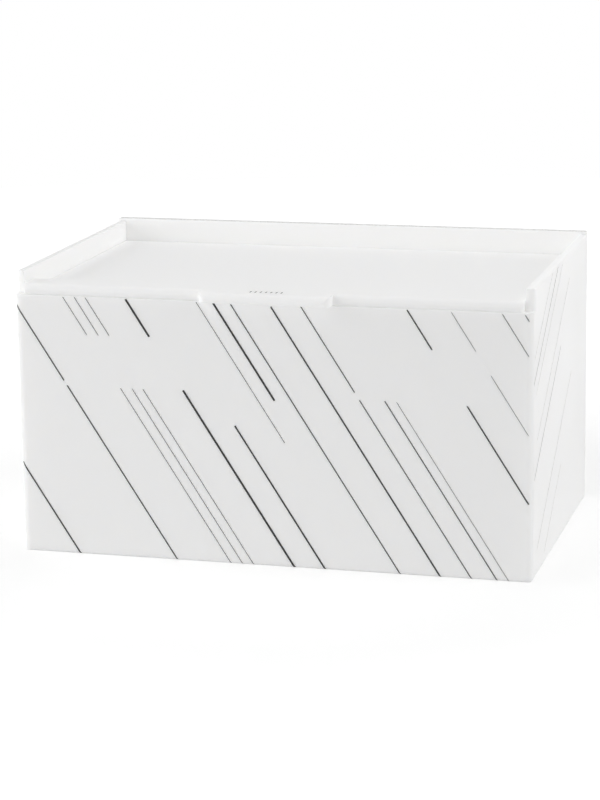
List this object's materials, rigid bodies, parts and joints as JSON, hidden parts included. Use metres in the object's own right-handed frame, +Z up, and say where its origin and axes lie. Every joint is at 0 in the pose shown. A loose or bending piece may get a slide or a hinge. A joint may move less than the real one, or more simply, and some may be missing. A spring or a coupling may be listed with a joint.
{
  "type": "false eyelash case",
  "caption": "Opal acrylic box with a recessed rear-hinged lid, a raised front strip with a finger tab, and upright removable tiles that keep rows of false lashes.",
  "frame": {"origin": "centre of the overall footprint, finger tab included, in the plane that the case stands on", "axes": "+X to the right seen from the front, +Y to the back, +Z up"},
  "size_m": [0.19, 0.1236, 0.1057],
  "materials": {
    "box_sheet": "satin opal acrylic sheet with a printed stripe pattern",
    "guide_sheet": "satin opal acrylic",
    "lid_sheet": "fine matte opal acrylic",
    "lash_tile": "smooth white sheet",
    "pin_steel": "drawn stainless wire"
  },
  "bodies": {
    "case": {"base_panel": "box_sheet", "front_panel": "box_sheet", "back_panel": "box_sheet", "left_side": "box_sheet", "right_side": "box_sheet", "left_tile_guide": "guide_sheet", "right_tile_guide": "guide_sheet"},
    "lid": {"lid_plate": "lid_sheet", "pull_strip": "lid_sheet", "hinge_pin_left": "pin_steel", "hinge_pin_right": "pin_steel"},
    "tile_01": {"lash_tile_01": "lash_tile"},
    "tile_02": {"lash_tile_02": "lash_tile"},
    "tile_03": {"lash_tile_03": "lash_tile"},
    "tile_04": {"lash_tile_04": "lash_tile"},
    "tile_05": {"lash_tile_05": "lash_tile"},
    "tile_06": {"lash_tile_06": "lash_tile"},
    "tile_07": {"lash_tile_07": "lash_tile"},
    "tile_08": {"lash_tile_08": "lash_tile"},
    "tile_09": {"lash_tile_09": "lash_tile"},
    "tile_10": {"lash_tile_10": "lash_tile"}
  },
  "joints": [
    {"name": "lid_hinge", "type": "hinge", "parent": "case", "child": "lid", "pos_m": [0, 0.05305, 0.0951], "axis": [-1, 0, 0], "range_deg": [0, 110]},
    {"name": "tile_lift_01", "type": "slide", "parent": "case", "child": "tile_01", "axis": [0, 0, 1], "range_m": [0, 0.0065]},
    {"name": "tile_lift_02", "type": "slide", "parent": "case", "child": "tile_02", "axis": [0, 0, 1], "range_m": [0, 0.0065]},
    {"name": "tile_lift_03", "type": "slide", "parent": "case", "child": "tile_03", "axis": [0, 0, 1], "range_m": [0, 0.0065]},
    {"name": "tile_lift_04", "type": "slide", "parent": "case", "child": "tile_04", "axis": [0, 0, 1], "range_m": [0, 0.0065]},
    {"name": "tile_lift_05", "type": "slide", "parent": "case", "child": "tile_05", "axis": [0, 0, 1], "range_m": [0, 0.0065]},
    {"name": "tile_lift_06", "type": "slide", "parent": "case", "child": "tile_06", "axis": [0, 0, 1], "range_m": [0, 0.0065]},
    {"name": "tile_lift_07", "type": "slide", "parent": "case", "child": "tile_07", "axis": [0, 0, 1], "range_m": [0, 0.0065]},
    {"name": "tile_lift_08", "type": "slide", "parent": "case", "child": "tile_08", "axis": [0, 0, 1], "range_m": [0, 0.0065]},
    {"name": "tile_lift_09", "type": "slide", "parent": "case", "child": "tile_09", "axis": [0, 0, 1], "range_m": [0, 0.0065]},
    {"name": "tile_lift_10", "type": "slide", "parent": "case", "child": "tile_10", "axis": [0, 0, 1], "range_m": [0, 0.0065]}
  ]
}
